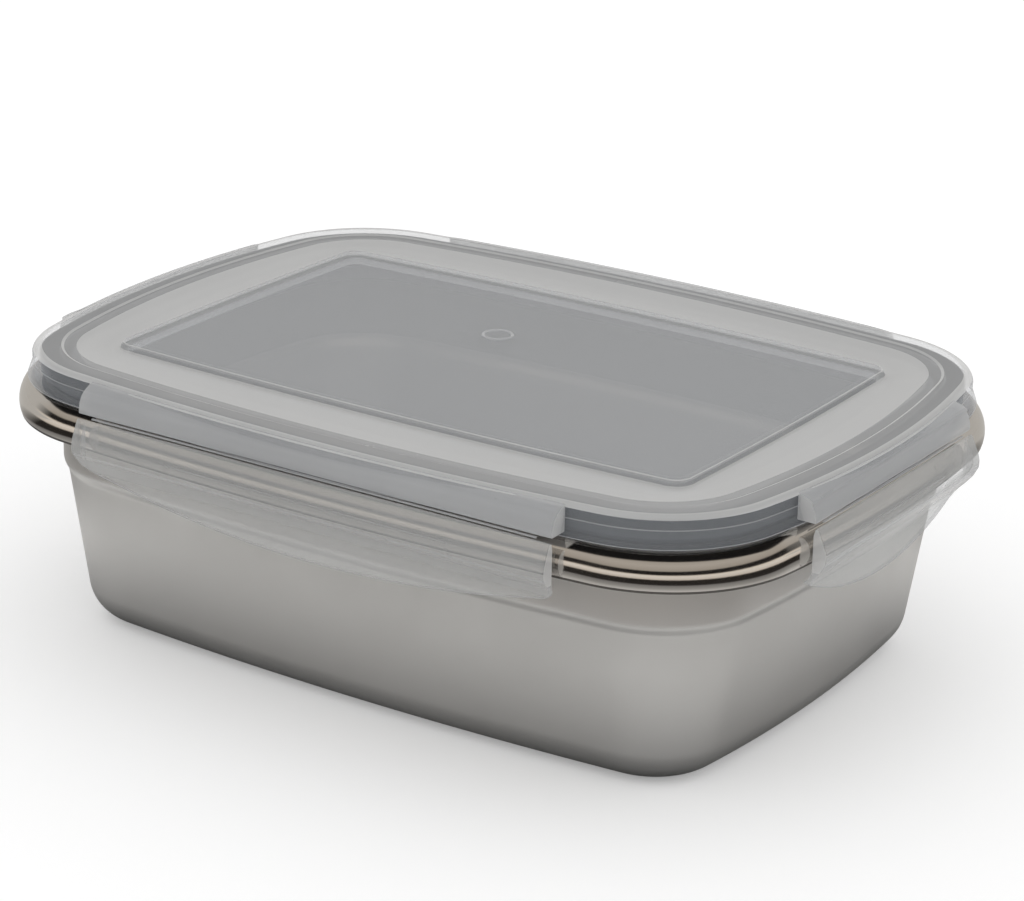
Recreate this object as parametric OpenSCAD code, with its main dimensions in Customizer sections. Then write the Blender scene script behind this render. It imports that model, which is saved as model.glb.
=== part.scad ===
/* [Tub] */
// Rim length end to end, mm
rim_length = 224.8; // [180:0.4:280]
// Rim width side to side, mm
rim_width = 165.4; // [130:0.2:210]
// Height of the sealing land above the table, mm
land_height = 65.6; // [55:0.2:95]
// Sheet thickness, mm
sheet_t = 0.6; // [0.5:0.05:0.9]
// Corner radius of the flat floor, mm
floor_corner_r = 5.38; // [4.6:0.01:12]
// How far the long sides bow out past the corners, mm
long_bow = 3; // [1.5:0.1:5]
// How far the short sides bow out past the corners, mm
short_bow = 2.5; // [1.2:0.1:4.5]
// Radius between floor and wall, mm
floor_r = 16; // [10:0.5:18]
// Wall lean from vertical, degrees
wall_lean = 8.5; // [7:0.1:9]
// Distance from rim edge back to the outer face of the mouth wall, mm
mouth_setback = 10.8; // [10.4:0.1:12.5]
// Radius of the rolled rim, mm
curl_r = 8; // [7.4:0.1:8.4]
// Gap between the rim's free edge and the wall, mm
curl_gap = 0.3; // [0.2:0.05:0.8]

/* [Lid] */
// Lid edge inside the rim's edge at the ends, mm
lid_end_inset = 1; // [0.5:0.1:2]
// Lid edge inside the rim's edge along the sides, mm
lid_side_inset = 0.6; // [0.3:0.1:2]
// Lid corner radius less than the rim's by, mm
lid_corner_less = 2.2; // [1:0.1:4]
// Extra bow of the lid's edges over the rim's, mm
lid_extra_bow = 1; // [0:0.1:2]
// Height of the outer band above the sealing land, mm
band_rise = 7.9; // [7.5:0.1:10]
// Lid sheet thickness, mm
lid_t = 1.6; // [1.2:0.1:2.2]
// Gap between lid underside and land, mm
lid_gap = 0.4; // [0.3:0.05:1]
// Gap between the plug wall and the tub's mouth, mm
plug_gap = 0.5; // [0.3:0.05:1.2]
// Plug wall thickness, mm
plug_t = 1.5; // [1:0.1:2.5]
// Plug depth below the land, mm
plug_depth = 4.6; // [2:0.1:9]
// Lid edge to the raised panel at the ends, mm
panel_end_margin = 27.9; // [25:0.1:45]
// Lid edge to the raised panel along the sides, mm
panel_side_margin = 29.6; // [25:0.1:45]
// Bow of the raised panel's edges, mm
panel_bow = 2; // [0.8:0.1:3]
// Lid edge to the inner edge of the sloped ring, mm
slope_margin = 20; // [17:0.1:23]
// Raised panel height above the recess, mm
panel_rise = 1.9; // [0.8:0.1:2.5]

/* [Gasket] */
// Gasket width, mm
gasket_w = 4.7; // [3.5:0.1:4.9]
// Gap between gasket and land with the lid at rest, mm
gasket_gap = 0.3; // [0.2:0.05:0.6]

/* [Clips] */
// Length of the two clips on the long sides, mm
long_clip_length = 136.4; // [100:0.4:140]
// Length of the two clips on the short sides, mm
short_clip_length = 78; // [50:0.5:84]
// Clip wall thickness, mm
clip_t = 1.4; // [1:0.1:1.8]
// Gap between a clip and the rolled rim, mm
clip_gap = 0.35; // [0.3:0.05:0.8]
// Depth of the long clips below their hinge at mid length, mm
long_clip_depth = 21.7; // [17:0.1:28]
// Depth of the short clips below their hinge at mid length, mm
short_clip_depth = 22.7; // [17:0.1:28]
// Radius of the curved lower edge of the long clips, mm
long_edge_r = 290; // [200:5:600]
// Radius of the curved lower edge of the short clips, mm
short_edge_r = 85; // [70:1:300]
// Thickness of the clip end walls, mm
clip_end_t = 1.6; // [1:0.1:2.5]
// Radius of the hinge roll along a clip's top edge, mm
roll_r = 0.7; // [0.5:0.05:0.9]

/* [Hidden] */
$fn = 96;

// Numbers that place an arc are kept to few digits, so that neighbouring arcs meet exactly
function tidy(x) = round(x * 100) / 100;

land_z = land_height;
neck_z = land_z - 2.25 * curl_r;
neck_step = 1.1 * curl_r / 8;
lean_run = (neck_z - floor_r + floor_r * sin(wall_lean)) * tan(wall_lean);
floor_o = -mouth_setback - lean_run - floor_r * cos(wall_lean) - neck_step * 0.2;
rim_corner_r = tidy(floor_corner_r - floor_o);
e = band_rise / 7.9;

// Plan forms: half length, half width, bow of the long and short sides, corner radius
RIM = [rim_length / 2, rim_width / 2, long_bow, short_bow, rim_corner_r];
lid_x = RIM[0] - lid_end_inset;
lid_y = RIM[1] - lid_side_inset;
lid_r = rim_corner_r - lid_corner_less;
LID = [lid_x, lid_y, long_bow + lid_extra_bow, short_bow + 1.8 * lid_extra_bow, lid_r];
panel_x = lid_x - panel_end_margin;
panel_y = lid_y - panel_side_margin;
panel_r = tidy(lid_r * 0.13);
PANEL = [panel_x, panel_y, panel_bow, panel_bow * 0.4, panel_r];

curl_z = land_z - 0.8 * curl_r;
skirt_z = land_z + lid_gap;
band_z = land_z + band_rise;
recess_z = band_z - 1.9 * e;
groove_z = band_z - 1.5 * e;
hinge_z = land_z - 0.9 * e;
long_hinge = RIM[1] - 0.3 * e;
short_hinge = RIM[0] - 0.8 * e;

steel = [0.72, 0.72, 0.71];
frosted = [0.86, 0.87, 0.87, 0.75];
grey_rubber = [0.28, 0.29, 0.31];

// Centre of a form's corner arc
function corner_c(f) = [f[0] - f[4] - f[3], f[1] - f[4] - f[2]];

// Radii of the long and short sides, so that they meet the corner arc smoothly
function long_r(f) =
  let (c = corner_c(f))
  (c[0] * c[0] + pow(c[1] - f[1], 2) - f[4] * f[4]) / (2 * f[2]);
function short_r(f) =
  let (c = corner_c(f))
  (c[1] * c[1] + pow(c[0] - f[0], 2) - f[4] * f[4]) / (2 * f[3]);
function long_angle(f) = atan2(corner_c(f)[1] + long_r(f) - f[1], corner_c(f)[0]);
function short_angle(f) = atan2(corner_c(f)[1], corner_c(f)[0] + short_r(f) - f[0]);

// Points of an arc from a0 to a1 in n steps
function arc(c, r, a0, a1, n) =
  [for (i = [0:n]) c + r * [cos(a0 + (a1 - a0) * i / n), sin(a0 + (a1 - a0) * i / n)]];

// One quarter of the plan outline of form f at offset o
function quarter(f, o) = concat(
  arc([f[0] - short_r(f), 0], short_r(f) + o, 0, short_angle(f), 3),
  arc(corner_c(f), f[4] + o, short_angle(f), long_angle(f), 8),
  arc([0, f[1] - long_r(f)], long_r(f) + o, long_angle(f), 90, 4)
);
function flip(pts, sx, sy) = [for (p = pts) [p[0] * sx, p[1] * sy]];
function backwards(pts) = [for (i = [len(pts) - 1:-1:0]) pts[i]];
function outline(f, o) = concat(
  quarter(f, o),
  backwards(flip(quarter(f, o), -1, 1)),
  flip(quarter(f, o), -1, -1),
  backwards(flip(quarter(f, o), 1, -1))
);

// Carries a section, drawn as offset and height, round the form f.
// Each arc runs a little long and is cut on the line it shares with the next arc.
module swept(f) {
  c = corner_c(f);
  a = long_angle(f);
  b = short_angle(f);
  p = long_r(f);
  q = short_r(f);
  j = c + (f[4] + 12) * [cos(a), sin(a)];
  k = c + (f[4] + 12) * [cos(b), sin(b)];
  m = c + (f[4] + 24) * [cos(45), sin(45)];
  for (s = [0, 180]) {
    rotate([0, 0, s]) {
      arc_part([0, f[1] - p], p, a - 1, 182 - 2 * a, [c, j, [-j[0], j[1]], [-c[0], c[1]]])
        children();
      arc_part([f[0] - q, 0], q, -b - 1, 2 * b + 2, [[c[0], -c[1]], [k[0], -k[1]], k, c])
        children();
      arc_part(c, f[4], b - 8, a - b + 16, [c, k, m, j])
        children();
      mirror([1, 0, 0])
        arc_part(c, f[4], b - 8, a - b + 16, [c, k, m, j])
          children();
    }
  }
}

// Whole millimetres first, then the rest
module fine_shift(x, y) {
  translate([floor(x), floor(y)])
    translate([x - floor(x), y - floor(y)])
      children();
}

module arc_part(at, r, from, turn, keep) {
  intersection() {
    fine_shift(at[0], at[1])
      rotate_extrude(angle = turn, start = from, $fn = r > 2 * rim_corner_r ? 720 : 96)
        fine_shift(r, 0)
          children();
    linear_extrude(height = band_z + 2 * band_rise)
      polygon(keep);
  }
}

// Plate inside the outline of form f at offset o
module filler(f, o, z0, z1) {
  translate([0, 0, z0])
    linear_extrude(height = z1 - z0)
      polygon(outline(f, o));
}

module container() {
  t = sheet_t;
  step = neck_step;
  fo = floor_o;
  fc = [fo, floor_r];
  bend = [t - mouth_setback, land_z - 2 * t];
  curl = [-curl_r, curl_z];
  nose_r = curl_r * 0.31;
  top_a = 45;
  nose = curl + (curl_r - nose_r) * [cos(top_a), sin(top_a)];
  nose_rise = land_z - nose[1];
  tail_o = -mouth_setback + curl_gap;
  tail_out = curl + curl_r * [cos(-60), sin(-60)];
  tail_in = curl + (curl_r - t) * [cos(-60), sin(-60)];
  fall = tan(30);
  color(steel) {
    swept(RIM)
      polygon(concat(
        [[fo - 2 * step, 0]],
        arc(fc, floor_r, -90, -wall_lean, 10),
        [[-mouth_setback - step, neck_z - 6 * step]],
        [[-mouth_setback, neck_z]],
        arc(bend, t, 180, 90, 3),
        arc(nose, nose_rise - t, 90, top_a, 4),
        arc(curl, curl_r - t, top_a, -60, 12),
        [[tail_o, tail_in[1] + (tail_o - tail_in[0]) * fall]],
        [[tail_o, tail_out[1] + (tail_o - tail_out[0]) * fall]],
        arc(curl, curl_r, -60, top_a, 12),
        arc(nose, nose_rise, top_a, 90, 4),
        arc(bend, 2 * t, 90, 180, 5),
        [[-mouth_setback - t, neck_z]],
        [[-mouth_setback - step - t, neck_z - 6 * step]],
        arc(fc, floor_r - t, -wall_lean, -90, 10),
        [[fo - 2 * step, t]]
      ));
    filler(RIM, fo - step, 0, t);
  }
}

module lid_shell() {
  w = 3.1 * e;
  g = 8.4 * e;
  m = slope_margin;
  in = lid_r - 4 * e;
  swept(LID)
    polygon(concat(
      [[0, skirt_z], [-1.4 * e, skirt_z + 3.8 * e], [-1.2 * e, band_z - 1.2 * e]],
      arc([-2.4 * e, band_z - 1.2 * e], 1.2 * e, 15, 90, 4),
      [[-8.2 * e, band_z], [-9.2 * e, band_z - 0.5 * e], [-12 * e, band_z - 0.5 * e]],
      [[-m, recess_z], [-in, recess_z]],
      [[-in, recess_z - lid_t], [-m - 0.2 * e, recess_z - lid_t]],
      [[-12.2 * e, groove_z - 0.9 * e], [-g - lid_t, groove_z - 0.9 * e]],
      [[-g - lid_t, skirt_z + 0.2 * e], [-g, skirt_z + 0.2 * e]],
      [[-g, groove_z], [-w, groove_z], [-w, skirt_z + 3 * e], [-1.7 * e, skirt_z]]
    ));
  filler(LID, 1.5 * e - in, recess_z - lid_t, recess_z);
}

module raised_panel() {
  r = panel_rise;
  in = panel_r - 1.2 * e;
  swept(PANEL)
    polygon([
      [-in, recess_z - 0.8 * e],
      [0.9 * e, recess_z - 0.8 * e],
      [0.9 * e, recess_z],
      [0.1 * e, recess_z + r - 0.3 * e],
      [-0.3 * e, recess_z + r],
      [-in, recess_z + r]
    ]);
  filler(PANEL, 0.6 * e - in, recess_z - 0.8 * e, recess_z + r);
}

module panel_pocket() {
  in = panel_r - 1.1 * e;
  swept(PANEL)
    polygon([
      [-in, recess_z - lid_t - e],
      [-1.4 * e, recess_z - lid_t - e],
      [-1.4 * e, recess_z + panel_rise - lid_t],
      [-in, recess_z + panel_rise - lid_t]
    ]);
  filler(PANEL, 0.4 * e - in, recess_z - lid_t - e, recess_z + panel_rise - lid_t);
}

module plug() {
  o = -mouth_setback - sheet_t - plug_gap;
  swept(RIM)
    polygon([
      [o, groove_z - 0.6 * e],
      [o - plug_t, groove_z - 0.6 * e],
      [o - plug_t, land_z - plug_depth],
      [o - 0.4 * e, land_z - plug_depth],
      [o, land_z - plug_depth + 1.2 * e]
    ]);
}

// Straight ledge that a clip hangs from; ridge is how far its ridge lies inside the hinge line
module ledge(half, hinge, ridge) {
  rotate([0, 0, 90])
    rotate([90, 0, 0])
      linear_extrude(height = 2 * half, center = true)
        polygon([
          [hinge - 9 * e, skirt_z],
          [hinge - 0.35 * e, skirt_z],
          [hinge - 0.3 * e, skirt_z + 1.6 * e],
          [hinge - 0.6 * e, skirt_z + 3.2 * e],
          [hinge - 1.3 * e, skirt_z + 4.7 * e],
          [hinge - ridge * e, band_z - 1.85 * e],
          [hinge - 4.5 * e, band_z - 0.5 * e],
          [hinge - 6.5 * e, band_z - 0.1 * e],
          [hinge - 9 * e, band_z - 0.1 * e]
        ]);
}

module ledges() {
  difference() {
    for (s = [0, 180])
      rotate([0, 0, s]) {
        ledge(long_clip_length / 2, long_hinge, 2.35);
        rotate([0, 0, -90])
          ledge(short_clip_length / 2, short_hinge, 1.6);
      }
    swept(LID)
      polygon([
        [-24 * e, skirt_z - e],
        [-2.2 * e, skirt_z - e],
        [-2.2 * e, band_z + e],
        [-24 * e, band_z + e]
      ]);
  }
}

module gate_mark() {
  translate([-9 * e, 12 * e, recess_z + panel_rise - 0.2 * e]) {
    difference() {
      cylinder(h = 0.6 * e, d = 8.3 * e);
      translate([0, 0, -e])
        cylinder(h = 3 * e, d = 6.9 * e);
    }
    cylinder(h = 0.7 * e, d = 1.8 * e);
  }
}

module lid() {
  color(frosted) {
    difference() {
      union() {
        lid_shell();
        raised_panel();
      }
      panel_pocket();
    }
    plug();
    ledges();
    gate_mark();
  }
}

module gasket() {
  o = -5.75 * e;
  h = gasket_w / 2;
  low = land_z + gasket_gap;
  color(grey_rubber)
    swept(LID)
      polygon([
        [o + h, groove_z],
        [o - h, groove_z],
        [o - h, low + 2.3 * e],
        [o - 1.3 * e, low],
        [o + 0.5 * e, low],
        [o + 1.1 * e, low + 1.5 * e],
        [o + h, low + 1.5 * e]
      ]);
}

// Thin web along a ledge's lower edge, on the +Y side
module web(half, hinge) {
  low = hinge_z + roll_r + 0.3 * e;
  color(frosted)
    translate([-half, hinge - 0.8 * e, low])
      cube([2 * half, 0.6 * e, skirt_z - low]);
}

module film_hinge_back() {
  web(long_clip_length * 0.47, long_hinge);
}

module film_hinge_front() {
  rotate([0, 0, 180])
    web(long_clip_length * 0.47, long_hinge);
}

module film_hinge_right() {
  rotate([0, 0, -90])
    web(short_clip_length * 0.45, short_hinge);
}

module film_hinge_left() {
  rotate([0, 0, 90])
    web(short_clip_length * 0.45, short_hinge);
}

// Side view of a clip: length across, height up, curved lower edge
function clip_face(half, depth, edge_r) =
  let (
    r = 5 * e,
    cz = hinge_z - depth + edge_r,
    fx = half - r,
    fz = cz - sqrt(pow(edge_r - r, 2) - fx * fx),
    a = atan2(fz - cz, fx)
  )
  concat(
    arc([fx, fz], r, 0, a, 6),
    arc([0, cz], edge_r, a, -180 - a, 24),
    arc([-fx, fz], r, -180 - a, -180, 6),
    [[-half, hinge_z + 2 * e], [half, hinge_z + 2 * e]]
  );

module along_x(len) {
  rotate([0, 0, 90])
    rotate([90, 0, 0])
      linear_extrude(height = len, center = true)
        children();
}

// A clip hanging on the +Y side; reach is how far the rim stands past the hinge
module clip(half, depth, edge_r, hinge, reach, rib_half, bulge) {
  u = hinge + reach + clip_gap;
  v = hinge + bulge;
  t = clip_t;
  z = hinge_z;
  color(frosted)
    intersection() {
      union() {
        along_x(2 * half)
          polygon([
            [hinge + 0.65 * e, z - 0.2 * e],
            [hinge + 1.6 * e, z - 2 * e],
            [v - 0.4 * e, z - 3.7 * e],
            [v, z - 5.7 * e],
            [v - 0.2 * e, z - 7.6 * e],
            [u + t - 0.15 * e, z - 12.7 * e],
            [u + t - 0.2 * e, z - depth - e],
            [u, z - depth - e],
            [u, z - 12.7 * e],
            [u + 0.25 * e, z - 8 * e],
            [v - t, z - 5.7 * e],
            [v - t - 0.2 * e, z - 4.4 * e],
            [u - 0.25 * e, z - 2.6 * e],
            [hinge - 0.45 * e, z - 0.5 * e]
          ]);
        along_x(2 * rib_half)
          polygon([
            [u, z - 11 * e],
            [u + 0.6 * e, z - 11 * e],
            [v - 0.4 * e, z - 5.7 * e],
            [v - 0.8 * e, z - 4 * e],
            [u, z - 4 * e]
          ]);
        translate([0, hinge, z])
          rotate([0, 90, 0])
            cylinder(h = 2 * half, r = roll_r, center = true);
        for (s = [-1, 1])
          translate([s * (half - clip_end_t / 2), 0, 0])
            along_x(clip_end_t)
              polygon([
                [hinge + 0.65 * e, z - 0.2 * e],
                [hinge + 1.6 * e, z - 2 * e],
                [v - 0.4 * e, z - 3.7 * e],
                [v, z - 5.7 * e],
                [v - 0.2 * e, z - 7.6 * e],
                [u + t - 0.3 * e, z - 12.7 * e],
                [hinge - 0.9 * e, z - 12.7 * e],
                [hinge - 0.9 * e, z - 4 * e],
                [hinge - 0.5 * e, z - 0.6 * e]
              ]);
      }
      translate([0, hinge + 10 * e, 0])
        rotate([90, 0, 0])
          linear_extrude(height = 20 * e)
            polygon(clip_face(half, depth, edge_r));
    }
}

module long_clip() {
  clip(
    long_clip_length / 2, long_clip_depth, long_edge_r,
    long_hinge, RIM[1] - long_hinge, long_clip_length * 0.3, 2.8 * e
  );
}

module short_clip() {
  clip(
    short_clip_length / 2, short_clip_depth, short_edge_r,
    short_hinge, RIM[0] - short_hinge, short_clip_length * 0.3, 3 * e
  );
}

module clip_back() {
  long_clip();
}

module clip_front() {
  rotate([0, 0, 180])
    long_clip();
}

module clip_right() {
  rotate([0, 0, -90])
    short_clip();
}

module clip_left() {
  rotate([0, 0, 90])
    short_clip();
}

container();
lid();
gasket();
film_hinge_front();
film_hinge_back();
film_hinge_left();
film_hinge_right();
clip_front();
clip_back();
clip_left();
clip_right();
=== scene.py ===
import math

import bpy
import numpy as np
from mathutils import Matrix, Vector


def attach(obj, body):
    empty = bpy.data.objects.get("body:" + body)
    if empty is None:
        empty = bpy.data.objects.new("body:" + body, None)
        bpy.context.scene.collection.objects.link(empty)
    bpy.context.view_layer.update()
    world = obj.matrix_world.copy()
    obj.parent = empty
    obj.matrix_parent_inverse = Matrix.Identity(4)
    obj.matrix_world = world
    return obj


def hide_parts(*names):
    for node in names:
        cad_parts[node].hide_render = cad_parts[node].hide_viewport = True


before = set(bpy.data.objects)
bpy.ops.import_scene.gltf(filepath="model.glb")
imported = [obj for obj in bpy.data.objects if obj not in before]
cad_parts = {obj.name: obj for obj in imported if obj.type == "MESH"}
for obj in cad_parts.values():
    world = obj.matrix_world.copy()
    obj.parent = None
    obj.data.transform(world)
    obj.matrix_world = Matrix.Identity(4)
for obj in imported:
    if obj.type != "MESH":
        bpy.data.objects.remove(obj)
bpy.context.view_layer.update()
print("frame loaded:", sorted(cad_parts))

# Plan outlines
# Rim, lid and panel each follow a bowed rectangle: half length, half width, bows, corner radius, in mm
planForms = {
    "rim": {"a": 112.4, "b": 82.7, "longBow": 3.0, "shortBow": 2.5, "corner": 37.3},
    "lid": {"a": 111.4, "b": 82.1, "longBow": 4.0, "shortBow": 4.3, "corner": 35.1},
    "panel": {"a": 83.5, "b": 52.5, "longBow": 2.0, "shortBow": 0.8, "corner": 4.56},
}
ringSteps = {"short": 10, "corner": 24, "long": 14}


def formArcs(name):
    f = planForms[name]
    cx = f["a"] - f["corner"] - f["shortBow"]
    cy = f["b"] - f["corner"] - f["longBow"]
    longR = (cx * cx + (cy - f["b"]) ** 2 - f["corner"] ** 2) / (2 * f["longBow"])
    shortR = (cy * cy + (cx - f["a"]) ** 2 - f["corner"] ** 2) / (2 * f["shortBow"])
    longA = math.atan2(cy + longR - f["b"], cx)
    shortA = math.atan2(cy, cx + shortR - f["a"])
    return f, (cx, cy), longR, shortR, longA, shortA


# Points round one outline at an offset and a height
def planRing(name, offset, z):
    f, c, longR, shortR, longA, shortA = formArcs(name)
    quarter = []
    for centre, r, a0, a1, n in (
        ((f["a"] - shortR, 0.0), shortR + offset, 0.0, shortA, ringSteps["short"]),
        (c, f["corner"] + offset, shortA, longA, ringSteps["corner"]),
        ((0.0, f["b"] - longR), longR + offset, longA, math.pi / 2, ringSteps["long"]),
    ):
        for i in range(n):
            t = a0 + (a1 - a0) * i / n
            quarter.append((centre[0] + r * math.cos(t), centre[1] + r * math.sin(t)))
    q = np.array(quarter)
    top = np.array([[0.0, f["b"] + offset]])
    side = q[1:]
    ring = np.vstack(
        [
            q,
            top,
            side[::-1] * [-1, 1],
            q[:1] * [-1, 1],
            side * [-1, -1],
            top * [1, -1],
            side[::-1] * [1, -1],
        ]
    )
    return np.column_stack([ring, np.full(len(ring), float(z))])


# Arc in a section, angles in degrees
def arcPoints(centre, r, a0, a1, n):
    return [
        (centre[0] + r * math.cos(math.radians(a0 + (a1 - a0) * i / n)),
         centre[1] + r * math.sin(math.radians(a0 + (a1 - a0) * i / n)))
        for i in range(n + 1)
    ]


def meshPiece(name, verts, faces, faceSlots, materials, sharpAngle=28):
    mesh = bpy.data.meshes.new(name)
    mesh.from_pydata([tuple(v) for v in np.asarray(verts) * 0.001], [], faces)
    for m in materials:
        mesh.materials.append(m)
    mesh.polygons.foreach_set("material_index", faceSlots)
    mesh.polygons.foreach_set("use_smooth", [True] * len(faces))
    mesh.update()
    mesh.set_sharp_from_angle(angle=math.radians(sharpAngle))
    obj = bpy.data.objects.new(name, mesh)
    bpy.context.scene.collection.objects.link(obj)
    return obj


# Quads between neighbouring rings, closed at both ends; slots gives one material slot a band
def loftRings(rings, slots):
    n = len(rings[0])
    verts = np.vstack(rings)
    faces, faceSlots = [], []
    for k in range(len(rings) - 1):
        lo, hi = k * n, (k + 1) * n
        for i in range(n):
            j = (i + 1) % n
            faces.append((lo + i, lo + j, hi + j, hi + i))
            faceSlots.append(slots[k])
    faces.append(tuple(range(n - 1, -1, -1)))
    faceSlots.append(slots[0])
    top = (len(rings) - 1) * n
    faces.append(tuple(range(top, top + n)))
    faceSlots.append(slots[-1])
    return verts, faces, faceSlots


# Shared shader groups
def groupSocket(tree, name, kind, inOut, default=None):
    socket = tree.interface.new_socket(name=name, in_out=inOut, socket_type=kind)
    if default is not None:
        socket.default_value = default


# Values set an input of that name where there is one, and a property of the node otherwise
def addNode(tree, kind, **values):
    n = tree.nodes.new(kind)
    for k, v in values.items():
        if k in n.inputs:
            n.inputs[k].default_value = v
        else:
            setattr(n, k, v)
    return n


def setRange(node, start, end):
    node.inputs["From Min"].default_value = start
    node.inputs["From Max"].default_value = end


markShape = {
    "blotchDetail": 4.0, "blotchRoughness": 0.6, "fineDetail": 3.0, "fineRoughness": 0.7,
    "fineShare": 0.35, "spread": (0.45, 0.9),
}


# Soft blotches and fine random hairlines, as a value and a height
def makeHandlingMarks(s):
    tree = bpy.data.node_groups.new("handlingMarks", "ShaderNodeTree")
    groupSocket(tree, "Blotch Scale", "NodeSocketFloat", "INPUT", 30.0)
    groupSocket(tree, "Hairline Scale", "NodeSocketFloat", "INPUT", 900.0)
    groupSocket(tree, "Low", "NodeSocketFloat", "INPUT", 0.3)
    groupSocket(tree, "High", "NodeSocketFloat", "INPUT", 0.4)
    groupSocket(tree, "Roughness", "NodeSocketFloat", "OUTPUT")
    groupSocket(tree, "Height", "NodeSocketFloat", "OUTPUT")
    gin = tree.nodes.new("NodeGroupInput")
    gout = tree.nodes.new("NodeGroupOutput")
    coords = addNode(tree, "ShaderNodeTexCoord")
    blotch = addNode(tree, "ShaderNodeTexNoise", Detail=s["blotchDetail"], Roughness=s["blotchRoughness"])
    fine = addNode(tree, "ShaderNodeTexNoise", Detail=s["fineDetail"], Roughness=s["fineRoughness"])
    blend = addNode(tree, "ShaderNodeMath", operation="MULTIPLY_ADD")
    blend.inputs[1].default_value = s["fineShare"]
    spread = addNode(tree, "ShaderNodeMapRange")
    setRange(spread, *s["spread"])
    link = tree.links.new
    link(coords.outputs["Object"], blotch.inputs["Vector"])
    link(coords.outputs["Object"], fine.inputs["Vector"])
    link(gin.outputs["Blotch Scale"], blotch.inputs["Scale"])
    link(gin.outputs["Hairline Scale"], fine.inputs["Scale"])
    link(fine.outputs["Fac"], blend.inputs[0])
    link(blotch.outputs["Fac"], blend.inputs[2])
    link(blend.outputs[0], spread.inputs["Value"])
    link(gin.outputs["Low"], spread.inputs["To Min"])
    link(gin.outputs["High"], spread.inputs["To Max"])
    link(spread.outputs["Result"], gout.inputs["Roughness"])
    link(fine.outputs["Fac"], gout.inputs["Height"])
    return tree


handlingMarks = makeHandlingMarks(markShape)


# Facing value at which a plastic starts to look denser, where its finish names none
usualGrazeFrom = 0.45


# alphaFace and alphaGraze are the cover of a plastic seen straight on and edge on
def startMaterial(name, settings):
    mat = bpy.data.materials.new(name)
    mat.use_nodes = True
    tree = mat.node_tree
    shader = next(n for n in tree.nodes if n.type == "BSDF_PRINCIPLED")
    for socket in ("Metallic", "IOR"):
        if socket in settings:
            shader.inputs[socket].default_value = settings[socket]
    marks = tree.nodes.new("ShaderNodeGroup")
    marks.node_tree = handlingMarks
    marks.inputs["Blotch Scale"].default_value = settings["blotchScale"]
    marks.inputs["Hairline Scale"].default_value = settings["hairScale"]
    marks.inputs["Low"].default_value = settings["roughLow"]
    marks.inputs["High"].default_value = settings["roughHigh"]
    tree.links.new(marks.outputs["Roughness"], shader.inputs["Roughness"])
    depth = settings["bumpDepth"]
    bump = addNode(tree, "ShaderNodeBump", Strength=settings["bumpStrength"], Distance=depth)
    tree.links.new(marks.outputs["Height"], bump.inputs["Height"])
    tree.links.new(bump.outputs["Normal"], shader.inputs["Normal"])
    tone = addNode(tree, "ShaderNodeMix", data_type="RGBA")
    tone.inputs[6].default_value = (*settings["toneA"], 1.0)
    tone.inputs[7].default_value = (*settings["toneB"], 1.0)
    cloud = addNode(tree, "ShaderNodeTexNoise", Scale=settings["cloudScale"], Detail=3.0)
    coords = addNode(tree, "ShaderNodeTexCoord")
    tree.links.new(coords.outputs["Object"], cloud.inputs["Vector"])
    tree.links.new(cloud.outputs["Fac"], tone.inputs[0])
    tree.links.new(tone.outputs[2], shader.inputs["Base Color"])
    if "alphaFace" in settings:
        view = addNode(tree, "ShaderNodeLayerWeight", Blend=0.5)
        thick = addNode(tree, "ShaderNodeMapRange", interpolation_type="SMOOTHSTEP")
        setRange(thick, settings.get("grazeFrom", usualGrazeFrom), 1.0)
        thick.inputs["To Min"].default_value = settings["alphaFace"]
        thick.inputs["To Max"].default_value = settings["alphaGraze"]
        tree.links.new(view.outputs["Facing"], thick.inputs["Value"])
        tree.links.new(thick.outputs["Result"], shader.inputs["Alpha"])
    return mat


# Finishes
satinSteelLook = {
    "Metallic": 1.0, "roughLow": 0.33, "roughHigh": 0.42,
    "toneA": (0.685, 0.68, 0.665), "toneB": (0.71, 0.705, 0.69),
    "blotchScale": 40.0, "hairScale": 1400.0, "cloudScale": 18.0,
    "bumpStrength": 0.10, "bumpDepth": 0.0002,
}
# The wall's satin steel made lighter: painted light on the neck under the rim and on the inside
paintedLightSteelLook = {
    "Metallic": 1.0, "roughLow": 0.42, "roughHigh": 0.50,
    "toneA": (0.79, 0.78, 0.765), "toneB": (0.81, 0.80, 0.785),
    "blotchScale": 40.0, "hairScale": 1400.0, "cloudScale": 18.0,
    "bumpStrength": 0.10, "bumpDepth": 0.0002,
}
polishedSteelLook = {
    "Metallic": 1.0, "roughLow": 0.08, "roughHigh": 0.12,
    "toneA": (0.66, 0.63, 0.59), "toneB": (0.70, 0.67, 0.63),
    "blotchScale": 60.0, "hairScale": 1600.0, "cloudScale": 30.0,
    "bumpStrength": 0.01, "bumpDepth": 0.0001,
}
frostedRingLook = {
    "Metallic": 0.0, "roughLow": 0.42, "roughHigh": 0.52, "IOR": 1.49, "alphaFace": 0.76, "alphaGraze": 0.95,
    "toneA": (0.57, 0.57, 0.565), "toneB": (0.60, 0.60, 0.595),
    "blotchScale": 50.0, "hairScale": 2200.0, "cloudScale": 25.0,
    "bumpStrength": 0.15, "bumpDepth": 0.0001,
}
clearPanelLook = {
    "Metallic": 0.0, "roughLow": 0.14, "roughHigh": 0.20, "IOR": 1.50, "alphaFace": 0.33, "alphaGraze": 0.75,
    "grazeFrom": 0.72,
    "toneA": (0.61, 0.625, 0.645), "toneB": (0.65, 0.665, 0.685),
    "blotchScale": 30.0, "hairScale": 1200.0, "cloudScale": 12.0,
    "bumpStrength": 0.01, "bumpDepth": 0.0001,
}
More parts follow.
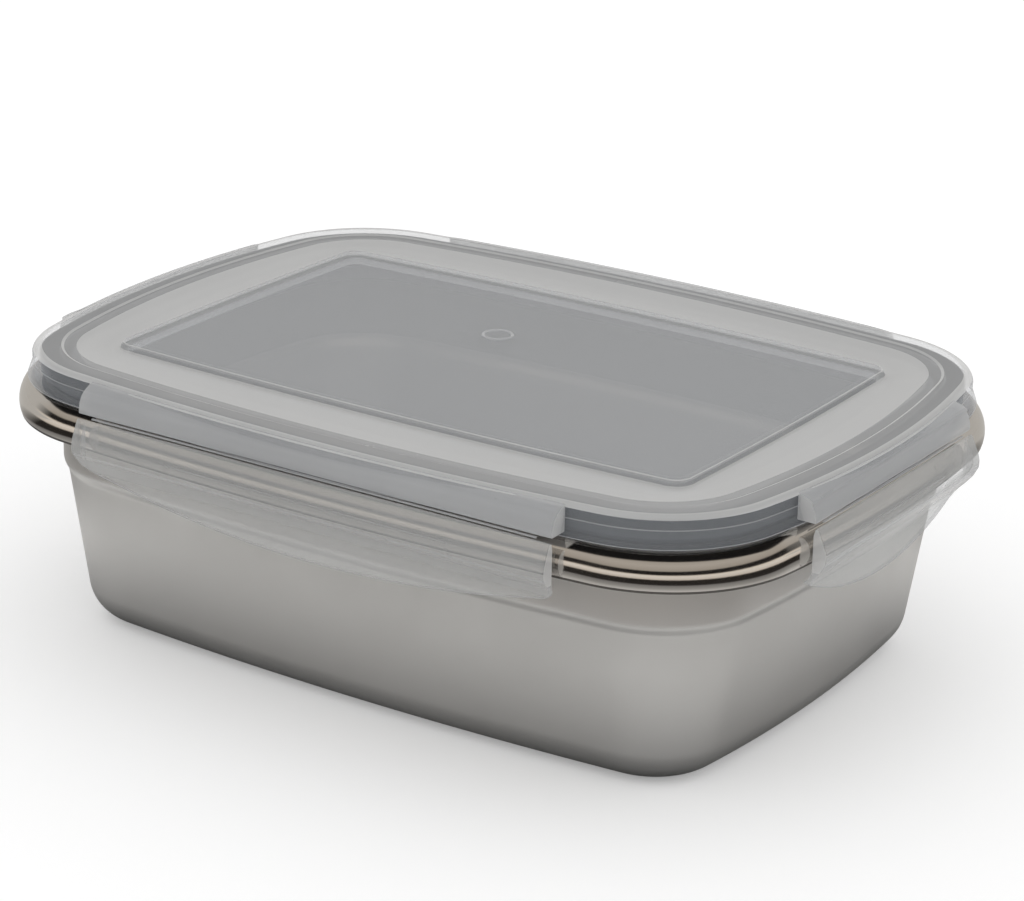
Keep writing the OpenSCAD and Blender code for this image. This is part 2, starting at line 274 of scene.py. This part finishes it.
topBandLook = {
    "Metallic": 0.0, "roughLow": 0.20, "roughHigh": 0.28, "IOR": 1.50, "alphaFace": 0.47, "alphaGraze": 0.85,
    "grazeFrom": 0.75,
    "toneA": (0.60, 0.605, 0.61), "toneB": (0.64, 0.645, 0.65),
    "blotchScale": 60.0, "hairScale": 900.0, "cloudScale": 30.0,
    "bumpStrength": 0.02, "bumpDepth": 0.0001,
}
clearSkirtLook = {
    "Metallic": 0.0, "roughLow": 0.16, "roughHigh": 0.24, "IOR": 1.50, "alphaFace": 0.15, "alphaGraze": 0.60,
    "toneA": (0.43, 0.45, 0.48), "toneB": (0.50, 0.52, 0.55),
    "blotchScale": 60.0, "hairScale": 900.0, "cloudScale": 30.0,
    "bumpStrength": 0.02, "bumpDepth": 0.0001,
}
ledgePlasticLook = {
    "Metallic": 0.0, "roughLow": 0.16, "roughHigh": 0.24, "IOR": 1.50, "alphaFace": 0.46, "alphaGraze": 0.85,
    "toneA": (0.56, 0.565, 0.57), "toneB": (0.62, 0.625, 0.63),
    "blotchScale": 60.0, "hairScale": 900.0, "cloudScale": 30.0,
    "bumpStrength": 0.02, "bumpDepth": 0.0001,
}
clipPlasticLook = {
    "Metallic": 0.0, "roughLow": 0.14, "roughHigh": 0.22, "IOR": 1.50, "alphaFace": 0.30, "alphaGraze": 0.75,
    "toneA": (0.57, 0.575, 0.57), "toneB": (0.63, 0.635, 0.63),
    "blotchScale": 60.0, "hairScale": 900.0, "cloudScale": 30.0,
    "bumpStrength": 0.02, "bumpDepth": 0.0001,
}
# Lighter, denser plastic for rounded edges and flap ends: a painted highlight along the edges
paintedEdgeHighlightLook = {
    "Metallic": 0.0, "roughLow": 0.30, "roughHigh": 0.40, "IOR": 1.50, "alphaFace": 0.66, "alphaGraze": 0.92,
    "toneA": (0.61, 0.61, 0.605), "toneB": (0.69, 0.69, 0.685),
    "blotchScale": 80.0, "hairScale": 1800.0, "cloudScale": 60.0,
    "bumpStrength": 0.10, "bumpDepth": 0.0001,
}
# Plastic a little lighter and denser than its neighbours, in thin bands: painted light lines along edges,
# folds and ribs
paintedHighlightLineLook = {
    "Metallic": 0.0, "roughLow": 0.25, "roughHigh": 0.35, "IOR": 1.50, "alphaFace": 0.42, "alphaGraze": 0.80,
    "toneA": (0.56, 0.565, 0.57), "toneB": (0.64, 0.645, 0.65),
    "blotchScale": 80.0, "hairScale": 1800.0, "cloudScale": 60.0,
    "bumpStrength": 0.02, "bumpDepth": 0.0001,
}
# Dark steel of painted shade, a stripe where the rolled rim turns under
rimPaintedShadeLook = {
    "Metallic": 1.0, "roughLow": 0.30, "roughHigh": 0.40,
    "toneA": (0.10, 0.095, 0.09), "toneB": (0.17, 0.16, 0.15),
    "blotchScale": 40.0, "hairScale": 1400.0, "cloudScale": 40.0,
    "bumpStrength": 0.02, "bumpDepth": 0.0001,
}
sealRubberLook = {
    "Metallic": 0.0, "roughLow": 0.50, "roughHigh": 0.65, "IOR": 1.45,
    "toneA": (0.060, 0.068, 0.075), "toneB": (0.075, 0.083, 0.090),
    "blotchScale": 120.0, "hairScale": 2500.0, "cloudScale": 60.0,
    "bumpStrength": 0.2, "bumpDepth": 0.0001,
}
satinSteel = startMaterial("satinSteel", satinSteelLook)
paintedLightSteel = startMaterial("paintedLightSteel", paintedLightSteelLook)
polishedSteel = startMaterial("polishedSteel", polishedSteelLook)
frostedRing = startMaterial("frostedRing", frostedRingLook)
clearPanel = startMaterial("clearPanel", clearPanelLook)
topBand = startMaterial("topBand", topBandLook)
clearSkirt = startMaterial("clearSkirt", clearSkirtLook)
ledgePlastic = startMaterial("ledgePlastic", ledgePlasticLook)
paintedEdgeHighlight = startMaterial("paintedEdgeHighlight", paintedEdgeHighlightLook)
paintedHighlightLine = startMaterial("paintedHighlightLine", paintedHighlightLineLook)
rimPaintedShade = startMaterial("rimPaintedShade", rimPaintedShadeLook)
clipPlastic = startMaterial("clipPlastic", clipPlasticLook)
sealRubber = startMaterial("sealRubber", sealRubberLook)
print("finishes made")

# Steel tub
tub = {
    "sheet": 0.6, "land": 65.6, "floorRadius": 11.0, "floorCentre": (-27.62, 11.0), "lean": 8.5,
    "curlCentre": (-8.0, 59.2), "curlRadius": 8.0, "noseCentre": (-4.11, 63.09), "noseRadius": 2.51,
    "polishDown": 56.9, "curlEnd": -21.0, "floorEdge": -33.9, "neckWall": -10.8, "neckUp": 43.9,
    "paintedShadePast": -2.0, "noseStart": 45, "floorSteps": 22,
    "shoulder": [
        (-12.32, 39.0), (-12.13, 40.1), (-12.03, 40.6), (-11.93, 41.2), (-11.62, 41.9), (-11.25, 42.6),
        (-10.96, 43.3), (-10.84, 43.9), (-10.80, 44.6), (-10.80, 49.0),
    ],
}


# Section up the outer wall, under the rim to its free edge, back over the rim and down the inside
def buildTub(s):
    t = s["sheet"]
    turn = s["noseStart"]
    outer = [(s["floorEdge"], 0.0)]
    outer += arcPoints(s["floorCentre"], s["floorRadius"], -90, -s["lean"], s["floorSteps"])
    outer += s["shoulder"]
    bend = (s["neckWall"] + t, s["land"] - 2 * t)
    outer += arcPoints(bend, t, 180, 90, 5)
    outer += arcPoints(s["noseCentre"], s["noseRadius"] - t, 90, turn, 6)
    outer += arcPoints(s["curlCentre"], s["curlRadius"] - t, turn, s["curlEnd"], 26)
    rimStart = len(outer)
    outer += arcPoints(s["curlCentre"], s["curlRadius"], s["curlEnd"], turn, 40)
    outer += arcPoints(s["noseCentre"], s["noseRadius"], turn, 90, 8)
    outer += arcPoints(bend, 2 * t, 90, 180, 8)
    rimEnd = len(outer)
    outer += [(o - t, z) for o, z in reversed(s["shoulder"])]
    outer += arcPoints(s["floorCentre"], s["floorRadius"] - t, -s["lean"], -90, s["floorSteps"])
    outer += [(s["floorEdge"], t)]
    rings = [planRing("rim", o, z) for o, z in outer]
    slots = []
    for k in range(len(outer) - 1):
        onRim = rimStart <= k < rimEnd - 1
        shiny = onRim and outer[k][1] >= s["polishDown"]
        # Painted shade: a dark stripe on the rim below its polished part, out towards its free edge
        paintedShade = onRim and not shiny and outer[k][0] > s["paintedShadePast"]
        # Painted light: the neck under the rim and the whole inside take the lighter copy of the satin steel
        neck = k > rimEnd or (k < rimStart and outer[k][1] >= s["neckUp"])  # also the inside
        slots.append(1 if shiny else 2 if paintedShade else 3 if neck else 0)
    finishes = [satinSteel, polishedSteel, rimPaintedShade, paintedLightSteel]
    return meshPiece("steelTub", *loftRings(rings, slots), finishes)


steelTub = buildTub(tub)
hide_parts("container")
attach(steelTub, "container")
print("tub built")

# Lid
lidShape = {
    "skirt": 66.0, "band": 73.5, "recess": 71.6, "thick": 1.6, "grooveTop": 72.0,
    "plugFoot": 61.0, "panelRise": 1.9, "slope": 20.0, "edgeRadius": 2.0, "sharpAngle": 24,
}


# Steps of outline, offset, height and material slot: the underside outwards, then the top inwards
def buildLid(s):
    r, b, k = s["recess"], s["band"], s["skirt"]
    low = r - s["thick"]
    foot, groove, slope, rise = s["plugFoot"], s["grooveTop"], s["slope"], s["panelRise"]
    # Slot 4 paints a highlight along the top edges and the panel's rim; slot 5 paints light lines at the
    # skirt's lower edge, its groove and the panel's edge
    steps = [
        ("panel", -2.6, r + 0.3, 1), ("panel", -1.5, r + 0.25, 1), ("panel", -1.4, low, 0),
        ("lid", -slope - 0.2, low, 0), ("rim", -15.2, 71.0, 2), ("rim", -13.4, 70.6, 2),
        ("rim", -13.4, foot + 0.3, 2), ("rim", -13.1, foot, 2), ("rim", -12.4, foot, 2),
        ("rim", -11.95, foot + 1.2, 2), ("rim", -11.95, k + 0.2, 2), ("lid", -8.45, k + 0.25, 3),
        ("lid", -8.4, groove - 0.1, 3), ("lid", -8.2, groove, 3), ("lid", -3.2, groove, 3),
        ("lid", -3.1, groove - 0.1, 2), ("lid", -3.0, k + 3.2, 2), ("lid", -1.8, k + 0.1, 2),
        ("lid", -1.55, k, 2), ("lid", -0.2, k, 2), ("lid", -0.03, k + 0.15, 5), ("lid", -0.08, k + 0.30, 2),
        ("lid", -0.3, k + 0.9, 2), ("lid", -0.95, k + 2.6, 2), ("lid", -1.3, k + 3.55, 2),
        ("lid", -1.42, k + 4.1, 5), ("lid", -1.33, k + 4.4, 2),
    ]
    edge = arcPoints((-3.2, b - s["edgeRadius"]), s["edgeRadius"], 12, 90, 10)
    steps += [("lid", o, z, 2 if i < 3 else 4) for i, (o, z) in enumerate(edge)]
    steps += [
        ("lid", -3.7, b, 3), ("lid", -5.0, b, 3), ("lid", -8.0, b, 3), ("lid", -8.5, b - 0.12, 4),
        ("lid", -9.2, b - 0.42, 3), ("lid", -9.8, b - 0.5, 3), ("lid", -11.6, b - 0.5, 3),
        ("lid", -12.3, b - 0.55, 0), ("lid", -slope + 0.6, r + 0.12, 0), ("lid", -slope - 0.6, r, 0),
        ("panel", 1.3, r, 0), ("panel", 0.95, r + 0.08, 0), ("panel", 0.62, r + 0.5, 1),
        ("panel", 0.22, r + 1.4, 5), ("panel", 0.0, r + 1.72, 4), ("panel", -0.3, r + 1.87, 1),
        ("panel", -0.9, r + rise, 1), ("panel", -2.6, r + rise, 1),
    ]
    rings = [planRing(f, o, z) for f, o, z, _ in steps]
    slots = [step[3] for step in steps[:-1]]  # the band above each ring takes that ring's slot
    finishes = [frostedRing, clearPanel, clearSkirt, topBand, paintedEdgeHighlight, paintedHighlightLine]
    return meshPiece("lidShell", *loftRings(rings, slots), finishes, s["sharpAngle"])


def sideSpin(side):
    return {"back": 0.0, "front": math.pi, "right": -math.pi / 2, "left": math.pi / 2}[side]


# Turns points drawn on the +Y side to another side
def turned(points, side):
    a = sideSpin(side)
    p = np.asarray(points, dtype=float)
    c, s = math.cos(a), math.sin(a)
    return np.column_stack([p[:, 0] * c - p[:, 1] * s, p[:, 0] * s + p[:, 1] * c, p[:, 2]])


# How far out an outline lies at a distance along the side
def edgeReach(name, offset, across, long):
    f, c, longR, shortR, longA, shortA = formArcs(name)
    r, reach = (longR, f["b"]) if long else (shortR, f["a"])
    start = c[0] if long else c[1]
    turn = math.cos(longA) if long else math.sin(shortA)
    if abs(across) <= start + f["corner"] * turn:
        return reach - r + math.sqrt((r + offset) ** 2 - across * across)
    rc = f["corner"] + offset
    other = c[1] if long else c[0]
    return other + math.sqrt(max(rc * rc - (abs(across) - start) ** 2, 0.0))


longSide = {"half": 68.2, "hinge": 82.4, "ridge": 2.35, "long": True}
shortSide = {"half": 39.0, "hinge": 111.6, "ridge": 1.6, "long": False}
sideShape = {"back": longSide, "front": longSide, "right": shortSide, "left": shortSide}
ledgeShape = {
    "count": 40, "endInset": 0.12, "wallOffset": -1.9, "wallOverlap": 0.02, "top": 73.2, "foot": 66.5,
    "insetAbove": 67, "lineBands": (0, 7), "sharpAngle": 40,
}


# Quads between closed sections that all have the same number of points
def loftStations(sections, closeEnds=True):
    n = len(sections[0])
    verts = np.vstack(sections)
    faces = []
    for k in range(len(sections) - 1):
        for i in range(n):
            j = (i + 1) % n
            faces.append((k * n + i, k * n + j, (k + 1) * n + j, (k + 1) * n + i))
    if closeEnds:
        faces.append(tuple(range(n - 1, -1, -1)))
        faces.append(tuple(range((len(sections) - 1) * n, len(sections) * n)))
    return verts, faces


def buildLedge(side):
    s, d = sideShape[side], ledgeShape
    outer = [
        (-0.36, 66.55), (-0.30, 66.8), (-0.28, 67.4), (-0.32, 68.0), (-0.6, 69.2), (-0.95, 70.1),
        (-1.35, 70.8), (-s["ridge"] + 0.35, 71.45), (-s["ridge"] - 0.1, 71.85), (-s["ridge"] - 0.8, 72.25),
        (-4.4, 72.9), (-5.6, 73.2), (-6.6, 73.32),
    ]
    sections = []
    count = d["count"]
    for i in range(count + 1):
        x = -s["half"] + 2 * s["half"] * i / count
        inset = d["endInset"] if i in (0, count) else 0.0
        wall = edgeReach("lid", d["wallOffset"], x, s["long"]) - s["hinge"]
        section = []
        for u, z in outer:
            drop = inset if z > d["insetAbove"] else 0
            section.append((x, s["hinge"] + max(u - inset, wall), z - drop))
        section.append((x, s["hinge"] + wall - d["wallOverlap"], d["top"] - inset))
        section.append((x, s["hinge"] + wall - d["wallOverlap"], d["foot"] + inset))
        sections.append(turned(section, side))
    verts, faces = loftStations(sections)
    # The bands listed in lineBands take the painted highlight line
    slots = [2 if i in d["lineBands"] else 0 for i in range(len(outer) + 2)] * count
    slots += [1, 1]  # the two end faces take the painted edge highlight
    finishes = [ledgePlastic, paintedEdgeHighlight, paintedHighlightLine]
    return meshPiece("ledge" + side.capitalize(), verts, faces, slots, finishes, d["sharpAngle"])


gateShape = {
    "x": -9.0, "y": 12.0, "z": 73.5, "turns": 40, "sharpAngle": 40,
    "section": [(4.15, -0.05), (4.1, 0.22), (3.9, 0.36), (3.65, 0.36), (3.45, 0.2), (3.4, -0.05)],
}


# Small round witness mark of the moulding gate on the raised panel
def buildGateMark(s):
    rings = []
    for t in np.linspace(0, 2 * math.pi, s["turns"], endpoint=False):
        dx, dy = math.cos(t), math.sin(t)
        rings.append(np.array([(s["x"] + r * dx, s["y"] + r * dy, s["z"] + h) for r, h in s["section"]]))
    verts, faces = loftStations(rings + rings[:1], closeEnds=False)
    # The mark takes the painted highlight line
    return meshPiece("gateMark", verts, faces, [0] * len(faces), [paintedHighlightLine], s["sharpAngle"])


lidShell = buildLid(lidShape)
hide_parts("lid")
lidPieces = [lidShell, buildGateMark(gateShape)] + [buildLedge(side) for side in sideShape]
for piece in lidPieces:
    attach(piece, "lid")
print("lid built")

# Clips
# Bands are counted round a section, from its top down the outside and back up the inside
clipShape = {
    "axisZ": 64.7, "top": 65.4, "endWall": 1.5, "cornerRadius": 5.0, "edgeInset": 0.16, "lipInset": 0.25,
    "leastThick": 0.05, "foldZ": 57, "foldBand": 10, "ribBand": 41, "tabBand": 34, "sharpAngle": 35,
    "tabs": (38.0, 15.0, -16.0, -30.0), "tabReach": 3.2,  # faint moulded tabs inside the long flaps
    "long": {"depth": 21.7, "edge": 290.0, "rib": 41.0, "shift": 0.0},
    "short": {"depth": 22.7, "edge": 85.0, "rib": 23.5, "shift": 0.45},
}


# Height of a flap's bowed lower edge, with its rounded corners
def lowerEdge(x, half, depth, edge, axisZ):
    r = clipShape["cornerRadius"]
    centreZ = axisZ - depth + edge
    fx = half - r
    fz = centreZ - math.sqrt((edge - r) ** 2 - fx * fx)
    tx = fx * edge / (edge - r)
    if abs(x) <= tx:
        return centreZ - math.sqrt(edge * edge - x * x)
    return fz - math.sqrt(max(r * r - (abs(x) - fx) ** 2, 0.0))


# How far out a curve of height and reach lies at a height
def curveReach(curve, z):
    heights = [point[0] for point in curve][::-1]
    reaches = [point[1] for point in curve][::-1]
    return float(np.interp(z, heights, reaches))


# Places along a flap, close together at its ends and at the ends of its rib
def clipStations(half, rib, endWall):
    xs = [-half, -half + 0.18]
    xs += list(np.linspace(-half + 0.6, -half + 5.0, 9))
    xs += list(np.linspace(-half + 6.5, 0, 24))
    xs += [-rib, -rib + 0.12, -half + endWall, -half + endWall + 0.1]
    xs = sorted(set(round(v, 4) for v in xs))
    return xs + [-v for v in xs[::-1] if v != 0]


def buildClip(side):
    s, c = sideShape[side], clipShape
    k = c["long"] if s["long"] else c["short"]
    sh = k["shift"]
    outerDown = [
        (65.4, 0.0), (65.1, 0.52), (64.6, 0.78), (63.6, 1.22), (62.6, 1.68), (61.4, 2.2), (60.2, 2.62),
        (59.5, 2.76), (59.2, 2.8), (58.2, 2.8), (57.35, 2.66), (56.95, 2.42), (55.0, 0.95 + sh),
        (52.9, -0.80 + sh), (51.5, -2.1 + sh), (50.6, -2.8 + sh), (49.6, -3.1 + sh), (30.0, -3.4 + sh),
    ]
    innerDown = [
        (65.4, -0.02), (65.1, -0.5), (64.5, -0.62), (63.6, -0.35), (62.6, 0.30 + sh), (61.4, 0.80 + sh),
        (60.2, 1.22 + sh), (59.2, 1.40 + sh), (58.2, 1.38 + sh), (57.35, 1.0 + sh), (56.95, 0.85 + sh),
        (55.4, -0.25 + sh), (53.6, -1.45 + sh), (52.1, -3.0 + sh), (51.3, -3.85 + sh), (50.4, -4.2 + sh),
        (30.0, -4.5 + sh),
    ]
    ribDown = [(z, min(u, 0.68 + sh)) for z, u in innerDown]
    endDown = [(z, min(u, -0.9)) if z < 64.5 else (z, u) for z, u in innerDown]
    half = s["half"]
    xs = clipStations(half, k["rib"], c["endWall"])
    sections = []
    for x in xs:
        edgeIn = c["edgeInset"] if abs(x) > half - 0.1 else 0.0
        low = lowerEdge(x, half, k["depth"], k["edge"], c["axisZ"]) + edgeIn
        if abs(x) > half - c["endWall"] - 0.05:
            inner = endDown
        elif abs(x) < k["rib"] - 0.05:
            inner = ribDown
        else:
            inner = innerDown
        levels = [z for z, _ in outerDown if z > c["foldZ"]]
        levels += list(np.linspace(c["foldZ"] - 0.4, low + 0.35, 12)) + [low + 0.12, low]
        outerSide = []
        for i, z in enumerate(levels):
            z = min(z, c["top"] - edgeIn)
            u = curveReach(outerDown, z) - edgeIn
            if i == len(levels) - 1:
                u -= c["lipInset"]
            outerSide.append((x, s["hinge"] + u, z))
        innerSide = []
        for i, z in enumerate(levels[::-1]):
            z = min(z, c["top"] - edgeIn)
            u = curveReach(inner, z) + edgeIn
            if i == 0:
                u += c["lipInset"]
            u = min(u, curveReach(outerDown, z) - edgeIn - c["leastThick"])
            innerSide.append((x, s["hinge"] + u, z))
        sections.append(turned(outerSide + innerSide, side))
    verts, faces = loftStations(sections)
    ring = len(sections[0])
    lowest = ring // 2
    # Bands that take the painted highlight line: the fold and lower edge here, the rib and the tabs below
    lines = (c["foldBand"], lowest - 3, lowest - 2, lowest - 1, lowest)  # fold and lower edge
    slots = []
    for x, following in zip(xs, xs[1:]):
        drawn = set(lines)
        if max(abs(x), abs(following)) < k["rib"]:
            drawn.add(c["ribBand"])
        if s["long"] and any(abs(x - tab) < c["tabReach"] for tab in c["tabs"]):
            drawn.add(c["tabBand"])
        slots += [2 if i in drawn else 0 for i in range(ring)]
    slots += [1, 1]  # the two end faces take the painted edge highlight
    finishes = [clipPlastic, paintedEdgeHighlight, paintedHighlightLine]
    return meshPiece("clip" + side.capitalize() + "Flap", verts, faces, slots, finishes, c["sharpAngle"])


for side in sideShape:
    flap = buildClip(side)
    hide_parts("clip_" + side)
    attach(flap, "clip_" + side)
print("clips built")

# Parts kept from the frame
keptFinishes = {
    "gasket": sealRubber, "film_hinge_front": ledgePlastic, "film_hinge_back": ledgePlastic,
    "film_hinge_left": ledgePlastic, "film_hinge_right": ledgePlastic,
}
for nodeName, finish in keptFinishes.items():
    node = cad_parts[nodeName]
    for slotted in node.material_slots:
        slotted.material = finish
    if not node.material_slots:
        node.data.materials.append(finish)
print("seal and webs finished")

# Floor, light and camera
# Mirror rays alone see the rings on the floor and the bands in the air, as distance or height and tone
studio = {
    "floorTone": (0.80, 0.80, 0.80), "floorLift": 0.25, "floorHalf": 6, "floorDrop": 0.00005,
    "floorRoughness": 0.9, "skyForMatte": 1.0,
    "footprint": (0.0726, 0.0424, 0.0373),  # corner centres and corner radius of the rim
    "ringStart": -0.03, "frontward": (0.548, -0.837, 0.0), "backTone": (0.56, 0.545, 0.52),
    "floorFade": (-0.05, -0.16), "airFade": (-0.10, -0.45),  # from the front's tones to the plain back
    "floorRings": (
        # The first two stops, dark, lie under the rim's overhang: painted shadow under the box, seen only by
        # mirror rays
        (0.0, (0.06, 0.06, 0.06)), (0.012, (0.26, 0.26, 0.26)), (0.030, (0.56, 0.555, 0.55)),
        (0.055, (0.88, 0.87, 0.855)), (0.076, (0.62, 0.61, 0.60)), (0.095, (0.36, 0.355, 0.345)),
        (0.125, (0.24, 0.235, 0.23)), (0.136, (0.03, 0.027, 0.025)), (0.285, (0.02, 0.018, 0.016)),
        (0.36, (0.74, 0.67, 0.60)), (1.0, (0.84, 0.79, 0.73)),
    ),
    "mirrorBands": (
        (-1.0, (0.8, 0.79, 0.77)), (0.035, (0.86, 0.78, 0.69)), (0.075, (0.015, 0.013, 0.012)),
        (0.255, (0.015, 0.013, 0.012)), (0.29, (0.42, 0.38, 0.335)), (0.55, (0.52, 0.48, 0.43)),
        (0.80, (0.42, 0.385, 0.34)), (1.0, (0.40, 0.37, 0.33)),
    ),
    "ceilingTilt": (-0.1874, 0.2863, 0.0), "ceilingEdge": (0.475, 0.505),  # dark, higher in front
    "ceilingTone": (0.004, 0.0035, 0.0035),
}
viewpoint = {
    "azimuth": 33.22, "elevation": 19.22, "roll": 1.31, "distance": 0.8525, "aimHeight": 0.066,
    "sensor": 36.0, "lens": 119.377, "shift": (0.01123, -0.06641), "clipStart": 0.01, "clipEnd": 50,
}


def fillRamp(ramp, stops):
    elements = ramp.color_ramp.elements
    while len(elements) < len(stops):
        elements.new(0.5)
    for element, (place, _) in zip(elements, stops):
        element.position = place
    for element, (_, colour) in zip(elements, stops):
        element.color = (*colour, 1.0)


# Mixes whatever is linked to its first colour into the plain tone behind the box
def fadeBehind(tree, coords, s, fade):
    ahead = addNode(tree, "ShaderNodeVectorMath", operation="DOT_PRODUCT")
    ahead.inputs[1].default_value = s["frontward"]
    behind = addNode(tree, "ShaderNodeMapRange")
    setRange(behind, *fade)
    even = addNode(tree, "ShaderNodeMix", data_type="RGBA")
    even.inputs[7].default_value = (*s["backTone"], 1.0)
    tree.links.new(coords, ahead.inputs[0])
    tree.links.new(ahead.outputs["Value"], behind.inputs["Value"])
    tree.links.new(behind.outputs["Result"], even.inputs[0])
    return even


def buildFloor(s):
    mesh = bpy.data.meshes.new("floor")
    h = s["floorHalf"]
    mesh.from_pydata([(-h, -h, 0), (h, -h, 0), (h, h, 0), (-h, h, 0)], [], [(0, 1, 2, 3)])
    floor = bpy.data.objects.new("floor", mesh)
    floor.location.z = -s["floorDrop"]
    bpy.context.scene.collection.objects.link(floor)
    mat = bpy.data.materials.new("paleFloor")
    mat.use_nodes = True
    tree = mat.node_tree
    shader = next(n for n in tree.nodes if n.type == "BSDF_PRINCIPLED")
    shader.inputs["Roughness"].default_value = s["floorRoughness"]
    shader.inputs["Specular IOR Level"].default_value = 0.0
    shader.inputs["Base Color"].default_value = (*s["floorTone"], 1.0)
    rays = addNode(tree, "ShaderNodeLightPath")
    lift = addNode(tree, "ShaderNodeMath", operation="MULTIPLY")
    lift.inputs[1].default_value = s["floorLift"]
    tree.links.new(rays.outputs["Is Camera Ray"], lift.inputs[0])
    shader.inputs["Emission Color"].default_value = (1, 1, 1, 1)
    tree.links.new(lift.outputs[0], shader.inputs["Emission Strength"])
    # distance from the rim's outline picks the ring, and only mirror rays see it
    coords = addNode(tree, "ShaderNodeTexCoord")
    fold = addNode(tree, "ShaderNodeVectorMath", operation="ABSOLUTE")
    past = addNode(tree, "ShaderNodeVectorMath", operation="SUBTRACT")
    past.inputs[1].default_value = (s["footprint"][0], s["footprint"][1], 0.0)
    clip = addNode(tree, "ShaderNodeVectorMath", operation="MAXIMUM")
    clip.inputs[1].default_value = (0.0, 0.0, 0.0)
    reach = addNode(tree, "ShaderNodeVectorMath", operation="LENGTH")
    away = addNode(tree, "ShaderNodeMath", operation="SUBTRACT")
    away.inputs[1].default_value = s["footprint"][2] + s["ringStart"]
    rings = addNode(tree, "ShaderNodeValToRGB")
    fillRamp(rings, s["floorRings"])
    even = fadeBehind(tree, coords.outputs["Object"], s, s["floorFade"])
    pick = addNode(tree, "ShaderNodeMix", data_type="RGBA")
    pick.inputs[6].default_value = (*s["floorTone"], 1.0)
    link = tree.links.new
    link(coords.outputs["Object"], fold.inputs[0])
    link(fold.outputs[0], past.inputs[0])
    link(past.outputs[0], clip.inputs[0])
    link(clip.outputs[0], reach.inputs[0])
    link(reach.outputs["Value"], away.inputs[0])
    link(away.outputs[0], rings.inputs["Fac"])
    link(rays.outputs["Is Glossy Ray"], pick.inputs[0])
    link(rings.outputs["Color"], even.inputs[6])
    link(even.outputs[2], pick.inputs[7])
    link(pick.outputs[2], shader.inputs["Base Color"])
    mesh.materials.append(mat)


def buildWorld(s):
    world = bpy.data.worlds.new("studioAir")
    bpy.context.scene.world = world
    world.use_nodes = True
    tree = world.node_tree
    tree.nodes.clear()
    out = addNode(tree, "ShaderNodeOutputWorld")
    coords = addNode(tree, "ShaderNodeTexCoord")
    split = addNode(tree, "ShaderNodeSeparateXYZ")
    ramp = addNode(tree, "ShaderNodeValToRGB")
    lift = addNode(tree, "ShaderNodeMath", operation="MULTIPLY_ADD")
    lift.inputs[1].default_value = 0.5
    lift.inputs[2].default_value = 0.5
    fillRamp(ramp, [(0.5 + 0.5 * z, colour) for z, colour in s["mirrorBands"]])
    rays = addNode(tree, "ShaderNodeLightPath")
    matte = addNode(tree, "ShaderNodeBackground", Strength=s["skyForMatte"])
    mirror = addNode(tree, "ShaderNodeBackground", Strength=1.0)
    pick = addNode(tree, "ShaderNodeMixShader")
    link = tree.links.new
    side = addNode(tree, "ShaderNodeVectorMath", operation="DOT_PRODUCT")
    side.inputs[1].default_value = s["ceilingTilt"]
    low = addNode(tree, "ShaderNodeMath", operation="MINIMUM")
    low.inputs[1].default_value = 0.0
    height = addNode(tree, "ShaderNodeMath", operation="ADD")
    under = addNode(tree, "ShaderNodeMapRange")
    setRange(under, *s["ceilingEdge"])
    ceiling = addNode(tree, "ShaderNodeMix", data_type="RGBA")
    ceiling.inputs[7].default_value = (*s["ceilingTone"], 1.0)
    even = fadeBehind(tree, coords.outputs["Generated"], s, s["airFade"])
    link(coords.outputs["Generated"], side.inputs[0])
    link(side.outputs["Value"], low.inputs[0])
    link(low.outputs[0], height.inputs[0])
    link(split.outputs["Z"], height.inputs[1])
    link(height.outputs[0], under.inputs["Value"])
    link(under.outputs["Result"], ceiling.inputs[0])
    link(ramp.outputs["Color"], even.inputs[6])
    link(even.outputs[2], ceiling.inputs[6])
    link(coords.outputs["Generated"], split.inputs[0])
    link(split.outputs["Z"], lift.inputs[0])
    link(lift.outputs[0], ramp.inputs["Fac"])
    matte.inputs["Color"].default_value = (1, 1, 1, 1)
    link(ceiling.outputs[2], mirror.inputs["Color"])
    link(rays.outputs["Is Glossy Ray"], pick.inputs["Fac"])
    link(matte.outputs[0], pick.inputs[1])
    link(mirror.outputs[0], pick.inputs[2])
    link(pick.outputs[0], out.inputs["Surface"])


def buildCamera(s):
    az, el, roll = (math.radians(s[k]) for k in ("azimuth", "elevation", "roll"))
    back = Vector((math.sin(az) * math.cos(el), -math.cos(az) * math.cos(el), math.sin(el)))
    right = Vector((math.cos(az), math.sin(az), 0.0))
    up = back.cross(right)
    rightR = right * math.cos(roll) + up * math.sin(roll)
    upR = up * math.cos(roll) - right * math.sin(roll)
    cam = bpy.data.cameras.new("camera")
    cam.sensor_width = s["sensor"]
    cam.lens = s["lens"]
    cam.shift_x = s["shift"][0]
    cam.shift_y = s["shift"][1]
    cam.clip_start = s["clipStart"]
    cam.clip_end = s["clipEnd"]
    obj = bpy.data.objects.new("camera", cam)
    place = Vector((0, 0, s["aimHeight"])) + back * s["distance"]
    obj.matrix_world = Matrix((
        (rightR.x, upR.x, back.x, place.x),
        (rightR.y, upR.y, back.y, place.y),
        (rightR.z, upR.z, back.z, place.z),
        (0, 0, 0, 1),
    ))
    bpy.context.scene.collection.objects.link(obj)
    bpy.context.scene.camera = obj


buildFloor(studio)
buildWorld(studio)
buildCamera(viewpoint)
bpy.context.scene.view_settings.view_transform = "Standard"
print("stage set")
